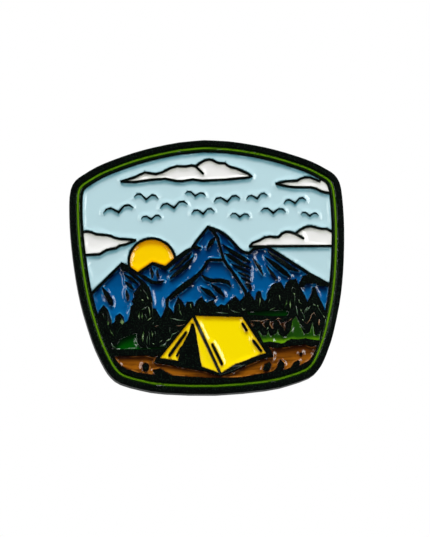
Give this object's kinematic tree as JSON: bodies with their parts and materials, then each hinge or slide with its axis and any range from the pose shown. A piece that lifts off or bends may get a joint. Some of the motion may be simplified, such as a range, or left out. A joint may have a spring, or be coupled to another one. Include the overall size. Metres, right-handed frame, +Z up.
{
  "type": "enamel lapel pin",
  "caption": "Shield-shaped soft enamel lapel pin with a mountain and tent landscape in recessed enamel cells, held by needle posts and sliding butterfly clutches.",
  "frame": {"origin": "centre of the plate's flat back, the face that lies on the cloth, midway across its width and height", "axes": "+Y out of the back along the posts, so the picture faces -Y; +Z up the picture; +X to the right as the picture is looked at"},
  "size_m": [0.0382, 0.0101, 0.0359],
  "materials": {
    "black_plating": "glossy black plating on die-struck metal",
    "enamel_green_border": "glossy soft enamel",
    "enamel_pale_blue": "glossy soft enamel",
    "enamel_white": "glossy soft enamel",
    "enamel_sun_yellow": "glossy soft enamel",
    "enamel_blue": "glossy soft enamel",
    "enamel_tent_yellow": "glossy soft enamel",
    "enamel_brown": "glossy soft enamel",
    "enamel_dark_green": "glossy soft enamel",
    "enamel_leaf_green": "glossy soft enamel",
    "enamel_pine_green": "glossy soft enamel",
    "bright_steel": "bright plated steel",
    "solder": "dull tin solder",
    "brass": "polished pressed sheet"
  },
  "bodies": {
    "pin": {"base_plate": "black_plating", "border_enamel": "enamel_green_border", "sky_enamel": "enamel_pale_blue", "low_sky_enamel": "enamel_pale_blue", "high_cloud_enamel": "enamel_white", "corner_cloud_enamel": "enamel_white", "left_cloud_enamel": "enamel_white", "right_cloud_enamel": "enamel_white", "sun_enamel": "enamel_sun_yellow", "left_peak_enamel": "enamel_blue", "main_face_enamel": "enamel_blue", "foothill_enamel": "enamel_blue", "right_slope_enamel": "enamel_blue", "spur_enamel": "enamel_blue", "tent_roof_enamel": "enamel_tent_yellow", "tent_front_enamel": "enamel_tent_yellow", "ground_enamel": "enamel_brown", "brush_1_enamel": "enamel_brown", "brush_2_enamel": "enamel_brown", "brush_3_enamel": "enamel_brown", "brush_4_enamel": "enamel_brown", "meadow_enamel": "enamel_dark_green", "far_meadow_enamel": "enamel_dark_green", "bushes_enamel": "enamel_leaf_green", "pine_1_enamel": "enamel_pine_green", "pine_2_enamel": "enamel_pine_green", "pine_3_enamel": "enamel_pine_green", "pine_4_enamel": "enamel_pine_green", "pine_5_enamel": "enamel_pine_green", "pine_6_enamel": "enamel_pine_green", "pine_7_enamel": "enamel_pine_green", "pine_8_enamel": "enamel_pine_green", "pine_9_enamel": "enamel_pine_green", "pine_10_enamel": "enamel_pine_green", "post_left": "bright_steel", "solder_left": "solder", "post_right": "bright_steel", "solder_right": "solder"},
    "clutch_left": {"clutch_disc_left": "brass", "clutch_clip_left": "brass"},
    "wing_left_outer": {"clutch_wing_left_outer": "brass"},
    "wing_left_inner": {"clutch_wing_left_inner": "brass"},
    "clutch_right": {"clutch_disc_right": "brass", "clutch_clip_right": "brass"},
    "wing_right_outer": {"clutch_wing_right_outer": "brass"},
    "wing_right_inner": {"clutch_wing_right_inner": "brass"}
  },
  "joints": [
    {"name": "clutch_left_slide", "type": "slide", "parent": "pin", "child": "clutch_left", "axis": [0, 1, 0], "range_m": [-0.0019, 0.0065]},
    {"name": "wing_left_outer_hinge", "type": "hinge", "parent": "clutch_left", "child": "wing_left_outer", "pos_m": [-0.01145, 0.00425, 0.002], "axis": [0, 0, -1], "range_deg": [0, 12], "stiffness_Nm_per_rad": 0.008},
    {"name": "wing_left_inner_hinge", "type": "hinge", "parent": "clutch_left", "child": "wing_left_inner", "pos_m": [-0.00755, 0.00425, 0.002], "axis": [0, 0, 1], "range_deg": [0, 12], "stiffness_Nm_per_rad": 0.008},
    {"name": "clutch_right_slide", "type": "slide", "parent": "pin", "child": "clutch_right", "axis": [0, 1, 0], "range_m": [-0.0019, 0.0065]},
    {"name": "wing_right_outer_hinge", "type": "hinge", "parent": "clutch_right", "child": "wing_right_outer", "pos_m": [0.01145, 0.00425, 0.002], "axis": [0, 0, 1], "range_deg": [0, 12], "stiffness_Nm_per_rad": 0.008},
    {"name": "wing_right_inner_hinge", "type": "hinge", "parent": "clutch_right", "child": "wing_right_inner", "pos_m": [0.00755, 0.00425, 0.002], "axis": [0, 0, -1], "range_deg": [0, 12], "stiffness_Nm_per_rad": 0.008}
  ],
  "couplings": [
    {"joint": "wing_left_inner_hinge", "follows": "wing_left_outer_hinge", "ratio": 1},
    {"joint": "wing_right_inner_hinge", "follows": "wing_right_outer_hinge", "ratio": 1}
  ]
}
